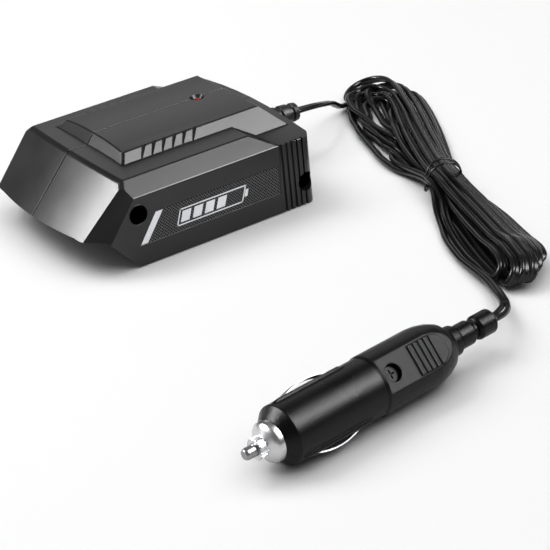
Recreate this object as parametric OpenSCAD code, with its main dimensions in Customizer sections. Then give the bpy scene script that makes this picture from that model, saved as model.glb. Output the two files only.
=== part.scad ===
// Slide-on battery charger for a 12 V car socket: a two-half casing with a battery bay
// underneath, a twin lead tied in a hank, and a socket plug with sprung contacts.
// Millimetres, +Z up, nose towards -Y, cord leaves towards +Y, origin under the casing's middle.

/* [Casing] */
// Width of the casing over its two side faces
body_w = 82; // [78:1:86]
// Height of the side faces, up to the lower bevel
side_h = 27.3; // [26:0.1:28]
// Wall thickness of the mouldings
wall = 2.2; // [1.8:0.1:2.6]
// Radius of the rounded rear corners
corner_r = 4.5; // [3:0.5:6]
// Radius of the nose's curve in plan
nose_r = 236; // [200:1:300]
// Number of grip grooves at the rear of each side
side_grooves = 5; // [3:1:5]
// Number of slanted grooves in each upper bevel
bevel_grooves = 6; // [2:1:7]

/* [Battery bay] */
// Height of the bay under its ceiling
bay_h = 16; // [14:0.5:17]
// Gap between the two guide rails
rail_gap = 64; // [56:1:68]
// Number of charging blades
blade_count = 4; // [2:1:5]

/* [Plug] */
// Diameter of the plug's barrel
barrel_d = 20; // [19:0.1:20.9]
// Travel of the centre contact
tip_travel = 3; // [2:0.5:3]
// Height of each side contact's bow above the barrel
bow_rise = 1.6; // [1:0.1:2]

/* [Cord] */
// Width of the twin lead over both cores
cord_w = 3.6; // [3:0.1:3.9]
// Height of the tied hank
hank_h = 13; // [12:0.2:14]

/* [Hidden] */
$fn = 64;

// casing outline: places along the length (y) and heights (z)
half_w = body_w / 2;
rear_y = 50;
lip_y = -50;
lip_z = 13.5;
foot_y = -28.8;
beak_y = -39.7;
beak_z = 12.5;
fold_z = 33.8;
nose_tilt = 42.65;
bevel_in = 6.6;
deck_z = 32.5;
deck_crown = 1.4;
rear_crown = 3.3;
ramp_top_y = 22.7;
ramp_end_y = 47.8;
cheek_tilt = 60.96;
cheek_turn = 44.65;
cheek_y = -28;

// raised panel
panel_z = 36.5;
panel_half = 21.5;
panel_crown = 1.3;
panel_base_z = 27;
panel_base_half = panel_half + (panel_z - panel_base_z) / 0.92;
panel_bevel_angle = atan(0.92);
panel_front_turn = 2.4;
bevel_groove_y = -10.9;
bevel_groove_step = 4.44;
bevel_groove_slant = 35;

// side grooves and label
groove_y = 36.1;
groove_step = 2.3;
groove_w = 0.8;
groove_depth = 0.9;
label_depth = 0.4;
label_outline = [[-28, 8.3], [34, 8.3], [34, 19.6], [-20, 19.6]];

// casing screws: [y, z, radius of the boss] of each
screw_places = [[-27, 20.6, 4.6], [46, 9.2, 4.2]];
recess_r = 3.8;
screw_seat_x = 9;
screw_reach = 9;
screw_r = 1.5;

// board and bay
board_z = 20.2;
board_t = 1.6;
board_top = board_z + board_t;
bay_end_y = 28;
ceiling_top = bay_h + wall;
led_y = 26;
block_w = 26;
block_y = 12;
block_z = 7;

// gland in the rear wall
gland_z = 18;
gland_neck_r = 3.6;
gland_end_y = 70;

// plug: stations along its axis, the first of them the centre contact's tip
barrel_r = barrel_d / 2;
grip_r = barrel_r + 0.4;
tip_s = 1.2;
ring_s = 12;
barrel_s = 15.5;
grip_s = 52;
shell_end_s = 89.3;
plug_end_s = 106.9;
plug_at = [185.5, -79, 10.5];
plug_turn = 7;
plug_roll = 40;
fuse_s = 13.2;
fuse_len = 30;
fuse_r = 3.17;
spring_end_s = 50.5;
spring_r = 2.6;
spring_wire = 0.35;
spring_turns = 5;
bow_s = 31.2;
bow_half = 9.75;
bow_base_r = barrel_r - 0.4;
bow_rise_all = bow_rise + 0.4;
bow_curve = (bow_half * bow_half + bow_rise_all * bow_rise_all) / (2 * bow_rise_all);
bow_t = 0.4;
contact_w = 4.6;
slot_w = 5.2;
hinge_s = 43.5;
hinge_r = 8.6;
pad_screw_s = 56.9;
pad_flat = 8.6;
pad_half = 5.2;
pad_top = 9.3;
pad_start_s = 52.4;
pad_step_s = 65.7;
pad_end_s = 74.3;

// hank: its own frame starts at the far end and runs towards the plug
hank_at = [-30, 125, 0.9];
hank_turn = -20;
tie_u = 107;
waist_r = 9.2;
waist_v = -1.6;

// routes of the free stretches of cord
casing_route = [[0, 70, 18], [-0.6, 76, 17.4], [-3, 82, 15.8], [-7, 88.5, 13.2],
    [-12, 95, 10.2], [-16.5, 101, 7.2], [-20.5, 107, 4.8]];
plug_route = [[133, 55, 3], [140, 52.6, 2.8], [148, 49.5, 3.2], [156, 45.5, 4.6],
    [163, 41, 6.8], [168.8, 35.2, 8.8], [171.6, 30, 10.1], [172.47, 27.1, 10.5]];

// ---- helpers

// an outline in (y, z), drawn out along x
module along_x(x0, x1, points) {
    translate([x0, 0, 0]) rotate([90, 0, 90]) linear_extrude(x1 - x0) polygon(points);
}

// an outline in (x, z), drawn out along y
module along_y(y0, y1, points) {
    translate([0, y1, 0]) rotate([90, 0, 0]) linear_extrude(y1 - y0) polygon(points);
}

// a rod of radius r from x0 to x1
module rod_x(x0, x1, y, z, r) {
    translate([x0, y, z]) rotate([0, 90, 0]) cylinder(r = r, h = x1 - x0);
}

module box(low, high) {
    translate(low) cube(high - low);
}

// a crowned line from +half to -half at height z, as points for an outline
function crown(half, z, rise) =
    [for (i = [0:8]) let (x = half * (1 - i / 4)) [x, z + rise * (1 - pow(x / half, 2))]];

// a tube swept along a route of points, with plain ends
function unit(v) = v / norm(v);
function tangent(p, i) = unit(p[min(i + 1, len(p) - 1)] - p[max(i - 1, 0)]);
function ring(p, i, r, n, up) =
    let (t = tangent(p, i), side = unit(cross(up, t)), lift = cross(t, side))
    [for (k = [0:n - 1]) p[i] + r * (cos(360 * k / n) * side + sin(360 * k / n) * lift)];
module swept_tube(route, r, n = 8, up = [0, 0, 1]) {
    last = len(route) - 1;
    points = [for (i = [0:last]) each ring(route, i, r, n, up)];
    walls = [for (i = [0:last - 1], k = [0:n - 1])
        let (a = i * n + k, b = i * n + (k + 1) % n) [a, a + n, b + n, b]];
    first_cap = [for (k = [0:n - 1]) k];
    last_cap = [for (k = [n - 1:-1:0]) last * n + k];
    polyhedron(points, concat([first_cap, last_cap], walls));
}

// ---- casing

// the rear deck and everything below it; t insets it for the hollow
module lower_body(t) {
    w = half_w - t;
    section = concat([[-w, 0], [w, 0]], crown(w, side_h - 0.7 * t, rear_crown - 0.3 * t));
    intersection() {
        along_y(-60, rear_y - t, section);
        along_x(-w, w, [[foot_y + t, 0], [rear_y, 0], [rear_y, 40], [-60, 40],
            [-60, lip_z], [beak_y + t - 0.9, lip_z], [beak_y + t, beak_z]]);
    }
}

// the front deck with its side bevels and the ramp behind it
module upper_body(t) {
    w = half_w - t;
    inner = half_w - bevel_in - 0.5 * t;
    section = concat([[-w, 20], [w, 20], [w, side_h - 0.7 * t]],
        crown(inner, deck_z - t, deck_crown), [[-w, side_h - 0.7 * t]]);
    intersection() {
        along_y(-60, rear_y - t, section);
        along_x(-w, w, [[-60, lip_z], [-60, 34.5], [ramp_top_y - t, 34.5],
            [ramp_end_y - t, 20], [ramp_end_y - t, lip_z]]);
    }
}

// the raised panel with its sloping sides, front and rear
module raised_panel(t) {
    section = concat([[-panel_base_half + 1.3 * t, panel_base_z],
        [panel_base_half - 1.3 * t, panel_base_z]],
        crown(panel_half - 0.4 * t, panel_z - t, panel_crown));
    difference() {
        intersection() {
            along_y(-32, rear_y, section);
            along_x(-half_w, half_w, [[-32, panel_base_z], [-32, 40],
                [36 - 1.4 * t, 40], [49 - 1.4 * t, panel_base_z]]);
        }
        for (side = [-1, 1])
            translate([0, -24 + 1.3 * t, 0]) rotate([0, 0, side * panel_front_turn])
            along_x(-50, 50, [[-5.5, panel_base_z - 1], [9.9, 45], [-40, 45],
                [-40, panel_base_z - 1]]);
    }
}

// the curved plane that makes the nose face
module nose_cylinder(t) {
    translate([0, lip_y, lip_z]) rotate([-nose_tilt, 0, 0])
        translate([0, nose_r, -30]) cylinder(r = nose_r - t, h = 130, $fn = 360);
}

// what the slanting cheek beside the nose takes off one side
module cheek_cut(t) {
    translate([half_w, cheek_y, side_h]) rotate([0, cheek_tilt, -cheek_turn])
        translate([-50, -50, -t]) cube([100, 100, 40]);
}

// what the rounding takes off one rear corner
module corner_cut(t) {
    translate([half_w - corner_r, rear_y - corner_r, -1]) difference() {
        cube([corner_r + 1, corner_r + 1, 42]);
        cylinder(r = corner_r - t, h = 42);
    }
}

module casing_form(t) {
    difference() {
        intersection() {
            union() {
                lower_body(t);
                upper_body(t);
                raised_panel(t);
            }
            nose_cylinder(t);
        }
        for (side = [0, 1]) mirror([side, 0, 0]) {
            cheek_cut(t);
            corner_cut(t);
        }
    }
}

// the open battery bay: the part below the lip, and the part above it behind the nose
module battery_bay() {
    bay_half = half_w - 2.4;
    box([-bay_half, -60, -1], [bay_half, bay_end_y, lip_z]);
    intersection() {
        box([-bay_half, -60, 5], [bay_half, bay_end_y, bay_h]);
        casing_form(wall);
    }
}

// the closed spaces: over the bay's ceiling, and behind the bay
module closed_space() {
    intersection() {
        casing_form(wall);
        union() {
            box([-50, -60, ceiling_top], [50, 60, 45]);
            box([-50, bay_end_y + wall, wall], [50, 60, 45]);
        }
    }
}

// everything that both halves have, before they are told apart
module casing_blank() {
    difference() {
        casing_form(0);
        difference() {
            closed_space();
            for (p = screw_places) rod_x(-half_w, half_w, p[0], p[1], p[2]);
        }
        battery_bay();
        // window for the terminal block
        box([-block_w / 2 - 0.3, block_y - 0.3, 10],
            [block_w / 2 + 0.3, bay_end_y - 0.4, ceiling_top + 1]);
        // gland's hole and the lamp's hole with its countersink
        translate([0, rear_y + 1, gland_z]) rotate([90, 0, 0])
            cylinder(r = gland_neck_r + 0.05, h = 6);
        translate([0, led_y, 30]) cylinder(r = 1.65, h = 12);
        translate([0, led_y, panel_z]) cylinder(r1 = 1.65, r2 = 3.4, h = 1.75);
    }
    // pegs under the board and guide rails in the bay
    for (x = [-27, 27], y = [-13, 28])
        translate([x, y, ceiling_top - 0.5]) cylinder(r = 2.2, h = board_z - ceiling_top + 0.5);
    for (side = [0, 1]) mirror([side, 0, 0])
        along_x(rail_gap / 2, half_w - 2, [[-28, 3], [bay_end_y + 1, 3],
            [bay_end_y + 1, 6], [-31, 6], [-31, 5]]);
}

// grooves and label pocket on the +X side
module side_cuts() {
    for (i = [0:side_grooves - 1])
        box([half_w - groove_depth, groove_y + i * groove_step - groove_w / 2, -1],
            [half_w + 1, groove_y + i * groove_step + groove_w / 2, 35]);
    along_x(half_w - label_depth, half_w + 1, label_outline);
    for (i = [0:bevel_grooves - 1])
        translate([panel_half, bevel_groove_y + i * bevel_groove_step, panel_z])
            rotate([0, panel_bevel_angle, 0]) rotate([0, 0, -bevel_groove_slant])
            translate([-1, -0.35, -0.6]) cube([6.6, 0.7, 3]);
}

module casing_right() {
    color("#2b2b2d") difference() {
        intersection() {
            casing_blank();
            box([0, -60, -1], [50, 60, 45]);
        }
        side_cuts();
        for (p = screw_places) {
            rod_x(screw_seat_x, half_w + 1, p[0], p[1], recess_r);
            rod_x(-1, screw_seat_x + 1, p[0], p[1], screw_r + 0.1);
        }
    }
}

module casing_left() {
    color("#2b2b2d") difference() {
        intersection() {
            casing_blank();
            box([-50, -60, -1], [0, 60, 45]);
        }
        mirror([1, 0, 0]) side_cuts();
        for (p = screw_places)
            rod_x(-screw_reach - 1, 1, p[0], p[1], screw_r + 0.02);
    }
}

module casing_screws() {
    color("silver") for (p = screw_places) difference() {
        union() {
            rod_x(-screw_reach, screw_seat_x + 0.5, p[0], p[1], screw_r);
            rod_x(screw_seat_x, screw_seat_x + 2.2, p[0], p[1], 2.8);
        }
        for (a = [0, 90]) translate([screw_seat_x + 1, p[0], p[1]]) rotate([a, 0, 0])
            translate([0, -1.6, -0.35]) cube([3, 3.2, 0.7]);
    }
}

module label(side) {
    color("#111114") mirror([side, 0, 0])
        along_x(half_w - label_depth + 0.02, half_w - 0.05,
            [[-27.8, 8.4], [33.9, 8.4], [33.9, 19.5], [-19.95, 19.5]]);
}
module label_right() { label(0); }
module label_left() { label(1); }

// ---- electronics

module circuit_board() {
    color("#1f5a34") difference() {
        box([-31, -20, board_z], [31, 38, board_top]);
        for (x = [-27, 27], y = [-13, 28])
            translate([x, y, board_z - 1]) cylinder(r = 1.1, h = board_t + 2);
    }
}

module power_inductor() {
    color("#8a4a22") translate([-13, -5, board_top]) rotate_extrude()
        polygon([[4, 0.6], [8.4, 0.6], [9, 1.2], [9, 7.8], [8.4, 8.4], [4, 8.4]]);
    color("#303030") translate([-13, -5, board_top]) cylinder(r = 3.98, h = 2);
}

module filter_capacitors() {
    color("#25324a") for (y = [-11, 1])
        translate([13, y, board_top]) cylinder(r = 4, h = 11);
    color("silver") for (y = [-11, 1])
        translate([13, y, board_top + 11]) cylinder(r = 3.4, h = 0.3);
}

module switching_transistor() {
    color("#18181a") box([-19, 14.6, board_top + 3], [-9, 19, board_top + 11.6]);
    color("silver") for (i = [-1, 0, 1])
        box([-14.4 + i * 2.54, 16.4, board_top], [-13.6 + i * 2.54, 16.9, board_top + 3.2]);
}

module heat_sink() {
    color("#b9bcc0") {
        box([-22, 19.1, board_top], [-4, 21, board_top + 10]);
        for (i = [0:4])
            box([-22 + i * 4.1, 20.9, board_top + 1], [-20.4 + i * 4.1, 25, board_top + 10]);
    }
}

module control_chip() {
    color("#161618") box([4, 12, board_top + 0.15], [10, 21, board_top + 1.7]);
    color("silver") for (i = [0:6], x = [2.9, 10])
        box([x, 12.5 + i * 1.27, board_top], [x + 1.1, 12.9 + i * 1.27, board_top + 0.8]);
}

module rectifier_diode() {
    color("#1a1a1c") rod_x(14, 23, 14, board_top + 2.7, 2.6);
    color("silver") for (x = [12.4, 23.9])
        box([x, 13.6, board_top], [x + 0.7, 14.4, board_top + 3.1]);
    color("silver") for (x = [12.6, 22.9])
        rod_x(x, x + 1.5, 14, board_top + 2.7, 0.4);
}

module status_led() {
    color("#c8202a") translate([0, led_y, 34]) {
        cylinder(r = 1.9, h = 0.9);
        cylinder(r = 1.5, h = 1.9);
        translate([0, 0, 1.9]) sphere(r = 1.5);
    }
    color("silver") for (x = [-1.27, 1.27])
        box([x - 0.25, led_y - 0.25, board_top], [x + 0.25, led_y + 0.25, 34.2]);
}

module terminal_block() {
    color("#2a2a2c") difference() {
        union() {
            box([-block_w / 2, block_y, block_z], [block_w / 2, 27.5, board_z]);
            box([-block_w / 2 - 2, block_y + 1, ceiling_top + 0.1],
                [block_w / 2 + 2, 27.5, board_z]);
        }
        for (i = [0:blade_count - 1]) box(blade_low(i, block_y - 1), blade_high(i, 24));
    }
}

// the blades' low and high corners, in a row across the block
function blade_x(i) = (i - (blade_count - 1) / 2) * 5.6;
function blade_low(i, y) = [blade_x(i) - 0.4, y, 8.6];
function blade_high(i, y) = [blade_x(i) + 0.4, y, 13.6];
module terminal_blades() {
    color("#c9a24a") for (i = [0:blade_count - 1]) difference() {
        box(blade_low(i, -2), blade_high(i, 24));
        for (z = [8, 13.2]) box([blade_x(i) - 1, -3, z], [blade_x(i) + 1, -1, z + 1]);
    }
}

module supply_wire(side) {
    swept_tube([[side * 1.6, 45.6, gland_z], [side * 2.2, 43.6, gland_z + 0.6],
        [side * 3, 41.6, 20.6], [side * 3.8, 39.6, 23], [side * 4.4, 37.2, 24],
        [side * 4.6, 35, 23.6], [side * 4.6, 33, board_top + 0.75]], 0.8);
}
module supply_wire_positive() { color("#b3202a") supply_wire(1); }
module supply_wire_negative() { color("#1c1c1e") supply_wire(-1); }

// ---- cord

module cord_gland() {
    color("#3a3a3c") translate([0, rear_y, gland_z]) rotate([-90, 0, 0]) rotate_extrude()
        polygon([[0, -4.3], [4.5, -4.3], [4.5, -2.3], [gland_neck_r, -2.3],
            [gland_neck_r, 0.05], [5.6, 0.05], [5.6, 1.6], [4.9, 2.4], [4.9, 5.4],
            [3.6, 5.6], [3.6, 7.2], [4.6, 7.4], [4.5, 10.4], [3.3, 10.6], [3.3, 12.2],
            [4.3, 12.4], [4.1, 16], [3, 16.2], [3, 17.6], [3.9, 17.8], [3.6, 20], [0, 20]]);
}

module cord_casing_end() {
    color("#151517") swept_tube(casing_route, cord_w / 2);
}

module cord_plug_end() {
    color("#151517") swept_tube(plug_route, cord_w / 2);
}

// the hank's waisted outline: wide loops at both ends, narrow under the tie
module hank_outline() {
    hull() {
        translate([7, 2]) circle(r = 17.5, $fn = 32);
        translate([tie_u, waist_v]) circle(r = waist_r, $fn = 32);
    }
    hull() {
        translate([tie_u, waist_v]) circle(r = waist_r, $fn = 32);
        translate([174, 1.8]) circle(r = 14.8, $fn = 32);
    }
}

module cord_hank() {
    color("#19191b") translate(hank_at) rotate([0, 0, hank_turn])
        linear_extrude(hank_h) hank_outline();
}

module hank_tie() {
    color("#202022") translate([hank_at[0], hank_at[1], 0]) rotate([0, 0, hank_turn])
        difference() {
            box([tie_u - 1.6, waist_v - waist_r - 1.4, 0],
                [tie_u + 1.6, waist_v + waist_r + 1.4, hank_h + 1.8]);
            box([tie_u - 3, waist_v - waist_r - 0.6, 0.8],
                [tie_u + 3, waist_v + waist_r + 0.6, hank_h + 1]);
        }
}

// ---- plug, drawn along +Z with the thumb pad towards +X and the side contacts on Y

module place_plug() {
    translate(plug_at) rotate([0, 0, plug_turn]) rotate([0, -plug_roll, 0])
        rotate([-90, 0, 0]) children();
}

module plug_body() {
    difference() {
        rotate_extrude($fn = 96) polygon([[0, ring_s + 0.05], [6.8, ring_s + 0.05],
            [barrel_r, barrel_s], [barrel_r, grip_s - 1], [grip_r, grip_s], [grip_r, 74],
            [grip_r - 0.3, 77], [grip_r - 1.1, 80.4], [8, 83.5], [5.4, 86.2],
            [5.2, shell_end_s], [0, shell_end_s]]);
        // flat for the screw and the thumb
        box([pad_flat, -11, pad_start_s], [12, 11, 84]);
    }
    // ribbed thumb plate with a round end, standing on the flat
    difference() {
        union() {
            box([5, -pad_half, pad_step_s], [pad_top, pad_half, pad_end_s]);
            translate([5, 0, pad_end_s]) rotate([0, 90, 0])
                cylinder(r = pad_half, h = pad_top - 5);
        }
        for (i = [0:3])
            box([pad_top - 0.5, -8, 67.2 + i * 2.2], [12, 8, 68 + i * 2.2]);
    }
}

module plug_hollow() {
    cylinder(r = 6.08, h = 20);
    translate([0, 0, 19.9]) cylinder(r = 7.8, h = 60.1);
    translate([0, 0, 79]) cylinder(r = 5, h = 4.4);
    cylinder(r = 3.05, h = 100);
}

// sleeve round the fuse, its stop, and the post for the screw
module plug_inside() {
    difference() {
        union() {
            translate([0, 0, 22]) cylinder(r = 4.6, h = spring_end_s - 22);
            translate([0, 0, 45]) cylinder(r = 7.9, h = 1.6);
            translate([0, 0, 51.4]) cylinder(r = 7.9, h = 1.8);
        }
        cylinder(r = 3.6, h = spring_end_s);
        translate([0, 0, 50]) cylinder(r = 1.6, h = 4);
        for (side = [-1, 1]) box([-1.4, side * 5.7 - 1.4, 50], [1.4, side * 5.7 + 1.4, 54]);
    }
    intersection() {
        translate([-9, 0, pad_screw_s]) rotate([0, 90, 0]) cylinder(r = 3.9, h = 18);
        cylinder(r = 8.2, h = 100);
    }
}

module plug_blank() {
    difference() {
        plug_body();
        difference() {
            plug_hollow();
            plug_inside();
        }
        // slots and seats for the side contacts
        for (side = [-1, 1]) {
            box([-slot_w / 2, side * 8.6 - 2.4, 20.4], [slot_w / 2, side * 8.6 + 2.4, 42.9]);
            translate([-slot_w / 2, side * hinge_r, hinge_s]) rotate([0, 90, 0])
                cylinder(r = 0.9, h = slot_w);
        }
    }
}

module plug_shell_upper() {
    color("#1d1d1f") place_plug() difference() {
        intersection() {
            plug_blank();
            box([0, -12, 0], [12, 12, 100]);
        }
        translate([5, 0, pad_screw_s]) rotate([0, 90, 0]) cylinder(r = 2.95, h = 8);
        translate([-1, 0, pad_screw_s]) rotate([0, 90, 0]) cylinder(r = 1.5, h = 8);
    }
}

module plug_shell_lower() {
    color("#1d1d1f") place_plug() difference() {
        intersection() {
            plug_blank();
            box([-12, -12, 0], [0, 12, 100]);
        }
        translate([-7, 0, pad_screw_s]) rotate([0, 90, 0]) cylinder(r = 1.42, h = 8);
    }
}

module plug_screw() {
    color("#3a3a3c") place_plug() translate([0, 0, pad_screw_s]) rotate([0, 90, 0])
        difference() {
            union() {
                translate([0, 0, -6.5]) cylinder(r = 1.4, h = 12);
                translate([0, 0, 5]) cylinder(r = 2.6, h = 1.8);
            }
            for (a = [0, 90]) rotate([0, 0, a])
                translate([-1.5, -0.3, 5.8]) cube([3, 0.6, 3]);
        }
}

module plug_nose_ring() {
    color("#d8d8da") place_plug() rotate_extrude()
        polygon([[2.1, 6.2], [4.3, 6.2], [4.7, 6.6], [4.7, 8.2], [4.3, 8.5], [5.2, 8.9],
            [6.4, 9.8], [6.8, 10.4], [6.8, ring_s], [6, ring_s], [6, 19.8], [3.5, 19.8],
            [3.5, 11.1], [2.1, 11.1]]);
}

module plug_tip_contact() {
    color("#cfcfd2") place_plug() rotate_extrude()
        polygon([[0, tip_s], [1.4, tip_s], [2, tip_s + 0.6], [2, 11.2], [3.3, 11.2],
            [3.3, fuse_s - 0.02],
            [0, fuse_s - 0.02]]);
}

module plug_fuse() {
    cap = 6;
    place_plug() translate([0, 0, fuse_s]) {
        color("#d0d0d4") cylinder(r = fuse_r, h = cap);
        color("#cfe0e2") translate([0, 0, cap]) cylinder(r = fuse_r - 0.25, h = fuse_len - 2 * cap);
        color("#d0d0d4") translate([0, 0, fuse_len - cap]) cylinder(r = fuse_r, h = cap);
    }
}

// the coil under the fuse: one swept wire with flat ends
module plug_spring() {
    room = spring_end_s - fuse_s - fuse_len - 2 * spring_wire - 0.1;
    steps = spring_turns * 12;
    path = [for (i = [0:steps]) let (a = 30 * i)
        [spring_r * cos(a), spring_r * sin(a), spring_wire + 0.05 + room * i / steps]];
    color("#c0c0c4") place_plug() translate([0, 0, fuse_s + fuse_len])
        swept_tube(path, spring_wire, 8);
}

module fuse_terminal() {
    color("#c9a24a") place_plug() {
        translate([0, 0, spring_end_s + 0.02]) cylinder(r = 4.2, h = 0.8);
        translate([-0.9, -0.4, spring_end_s + 0.5]) cube([1.8, 0.8, 1.7]);
    }
}

// one bowed leaf: an arc outside, the same arc inside it, and a curled rear end in its seat
function bow(r) = let (half_angle = asin(bow_half / bow_curve), steps = 24)
    [for (i = [0:steps]) let (a = half_angle * (2 * i / steps - 1))
        [bow_base_r + bow_rise_all - bow_curve + r * cos(a), bow_s + r * sin(a)]];
function reversed(list) = [for (i = [len(list) - 1:-1:0]) list[i]];
module side_contact() {
    translate([-contact_w / 2, 0, 0]) rotate([90, 0, 90]) linear_extrude(contact_w) {
        polygon(concat([[9, 20.7]], bow(bow_curve), [[hinge_r + 0.3, hinge_s]],
            [[hinge_r - 0.3, hinge_s - 0.2]], reversed(bow(bow_curve - bow_t)), [[8.6, 20.8]]));
        translate([hinge_r, hinge_s]) circle(r = 0.8, $fn = 32);
    }
}
module side_contact_right() {
    color("#dcdcde") place_plug() side_contact();
}
module side_contact_left() {
    color("#dcdcde") place_plug() mirror([0, 1, 0]) side_contact();
}

module plug_wire(side) {
    place_plug() swept_tube([[0.3, side * 5.7, 47.5], [0.3, side * 5.7, 70],
        [0.3, side * 5.2, 74], [0.3, side * 3.4, 77.4], [0.3, side * 2.2, 79.9]],
        0.8, up = [1, 0, 0]);
}
module plug_wires() {
    color("#9b2026") plug_wire(1);
    color("#1b1b1d") plug_wire(-1);
}

module plug_gland() {
    color("#242426") place_plug() rotate_extrude()
        polygon([[0, 80], [4.6, 80], [4.6, 82.6], [3, 82.6], [3, shell_end_s + 0.05],
            [3.4, shell_end_s + 0.05], [4.2, 90.4], [4.2, 96], [3.4, 97], [2.7, 97],
            [2.7, 98.6], [3.4, 98.6], [4.2, 99.7], [4.2, 105.8], [3.1, plug_end_s],
            [0, plug_end_s]]);
}

casing_left();
casing_right();
casing_screws();
label_left();
label_right();
circuit_board();
power_inductor();
filter_capacitors();
switching_transistor();
heat_sink();
control_chip();
rectifier_diode();
status_led();
terminal_block();
terminal_blades();
supply_wire_positive();
supply_wire_negative();
cord_gland();
cord_casing_end();
cord_hank();
hank_tie();
cord_plug_end();
plug_shell_upper();
plug_shell_lower();
plug_screw();
plug_nose_ring();
plug_tip_contact();
plug_fuse();
plug_spring();
fuse_terminal();
side_contact_left();
side_contact_right();
plug_wires();
plug_gland();
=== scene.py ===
import math
import bmesh
import bpy
import numpy as np
from mathutils import Matrix, Vector


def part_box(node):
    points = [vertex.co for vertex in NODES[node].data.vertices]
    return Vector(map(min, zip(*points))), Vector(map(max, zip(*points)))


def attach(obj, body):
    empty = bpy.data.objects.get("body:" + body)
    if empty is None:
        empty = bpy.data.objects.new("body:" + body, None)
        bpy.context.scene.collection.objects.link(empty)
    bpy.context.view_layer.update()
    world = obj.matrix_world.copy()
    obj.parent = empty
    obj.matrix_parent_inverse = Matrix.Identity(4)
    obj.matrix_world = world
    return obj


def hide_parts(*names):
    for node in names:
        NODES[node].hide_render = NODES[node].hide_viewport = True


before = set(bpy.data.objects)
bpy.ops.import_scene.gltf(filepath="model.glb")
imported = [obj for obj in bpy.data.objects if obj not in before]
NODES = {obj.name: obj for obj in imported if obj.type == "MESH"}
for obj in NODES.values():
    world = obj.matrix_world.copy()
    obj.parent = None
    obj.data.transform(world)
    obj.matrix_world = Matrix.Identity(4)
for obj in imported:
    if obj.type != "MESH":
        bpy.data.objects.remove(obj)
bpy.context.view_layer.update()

MM = 0.001


def mm(*values):
    """A point given in millimetres, as a vector in metres."""
    return Vector(values) * MM


def link(obj):
    bpy.context.scene.collection.objects.link(obj)
    return obj


# ---------------------------------------------------------------- camera

CAMERA_AT = mm(618.2, -325.9, 331.8)
CAMERA_AZIMUTH = math.radians(58.51)
CAMERA_ELEVATION = math.radians(27.75)
CAMERA_ROLL = math.radians(-5.85)
CAMERA_LENS = 130.9


def make_camera():
    data = bpy.data.cameras.new("camera")
    data.sensor_width = 36
    data.lens = CAMERA_LENS
    data.clip_end = 20
    cam = link(bpy.data.objects.new("camera", data))
    level = Vector((math.cos(CAMERA_AZIMUTH), math.sin(CAMERA_AZIMUTH), 0))
    flat_back = Vector((level.y, -level.x, 0))
    back = flat_back * math.cos(CAMERA_ELEVATION) + Vector((0, 0, math.sin(CAMERA_ELEVATION)))
    level_up = back.cross(level)
    right = level * math.cos(CAMERA_ROLL) + level_up * math.sin(CAMERA_ROLL)
    up = level_up * math.cos(CAMERA_ROLL) - level * math.sin(CAMERA_ROLL)
    turn = Matrix((right, up, back)).transposed()
    cam.matrix_world = Matrix.Translation(CAMERA_AT) @ turn.to_4x4()
    bpy.context.scene.camera = cam


# ---------------------------------------------------------------- materials

def new_material(name):
    mat = bpy.data.materials.new(name)
    mat.use_nodes = True
    tree = mat.node_tree
    shader = tree.nodes["Principled BSDF"]
    return mat, tree, shader


def node(tree, kind, **settings):
    made = tree.nodes.new(kind)
    for key, value in settings.items():
        if key in made.inputs:
            made.inputs[key].default_value = value
        else:
            setattr(made, key, value)
    return made


def noise(tree, scale, detail=3.0, rough=0.5):
    """Noise in object space; scale is in cycles per metre."""
    made = node(tree, "ShaderNodeTexNoise", Scale=scale, Detail=detail, Roughness=rough)
    place = tree.nodes.new("ShaderNodeTexCoord").outputs["Object"]
    tree.links.new(place, made.inputs["Vector"])
    return made


def remap(tree, value, low, high, from_low=0.3, from_high=0.7):
    """Stretches a value between two limits."""
    made = node(tree, "ShaderNodeMapRange")
    tree.links.new(value, made.inputs["Value"])
    made.inputs["From Min"].default_value = from_low
    made.inputs["From Max"].default_value = from_high
    made.inputs["To Min"].default_value = low
    made.inputs["To Max"].default_value = high
    return made.outputs["Result"]


def mix_colors(tree, factor, first, second):
    made = node(tree, "ShaderNodeMix", data_type="RGBA")
    tree.links.new(factor, made.inputs["Factor"])
    for socket, value in ((made.inputs[6], first), (made.inputs[7], second)):
        if isinstance(value, tuple):
            socket.default_value = (*value, 1)
        else:
            tree.links.new(value, socket)
    return made.outputs[2]


def bump(tree, height, distance):
    """Grain in the surface; distance is its height in metres."""
    made = node(tree, "ShaderNodeBump", Distance=distance, Strength=1.0)
    tree.links.new(height, made.inputs["Height"])
    return made.outputs["Normal"]


def moulded(name, color, rough, grain, grain_depth, spread=0.25, specular=0.5, painted_edge_highlight=0.0):
    """Moulded plastic: fine grain in the bump, slow drift in colour and gloss, and paler sharp edges,
    which are a painted edge highlight.
    """
    mat, tree, shader = new_material(name)
    fine = noise(tree, grain, 2.0, 0.6)
    slow = noise(tree, 45.0, 4.0)
    pale = tuple(c * (1 + spread) + 0.002 for c in color)
    dark = tuple(c * (1 - spread) for c in color)
    tint = mix_colors(tree, remap(tree, slow.outputs["Fac"], 0, 1), dark, pale)
    # the sharp edges, found by their pointiness, are painted paler: a painted edge highlight
    if painted_edge_highlight:
        edge = node(tree, "ShaderNodeNewGeometry").outputs["Pointiness"]
        edge_highlight_share = remap(tree, edge, 0, painted_edge_highlight, 0.53, 0.6)
        tint = mix_colors(tree, edge_highlight_share, tint, tuple(c * 3 + 0.03 for c in color))
    tree.links.new(tint, shader.inputs["Base Color"])
    gloss = remap(tree, slow.outputs["Fac"], rough * 0.92, rough * 1.08)
    tree.links.new(gloss, shader.inputs["Roughness"])
    tree.links.new(bump(tree, fine.outputs["Fac"], grain_depth), shader.inputs["Normal"])
    shader.inputs["Specular IOR Level"].default_value = specular
    return mat


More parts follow.
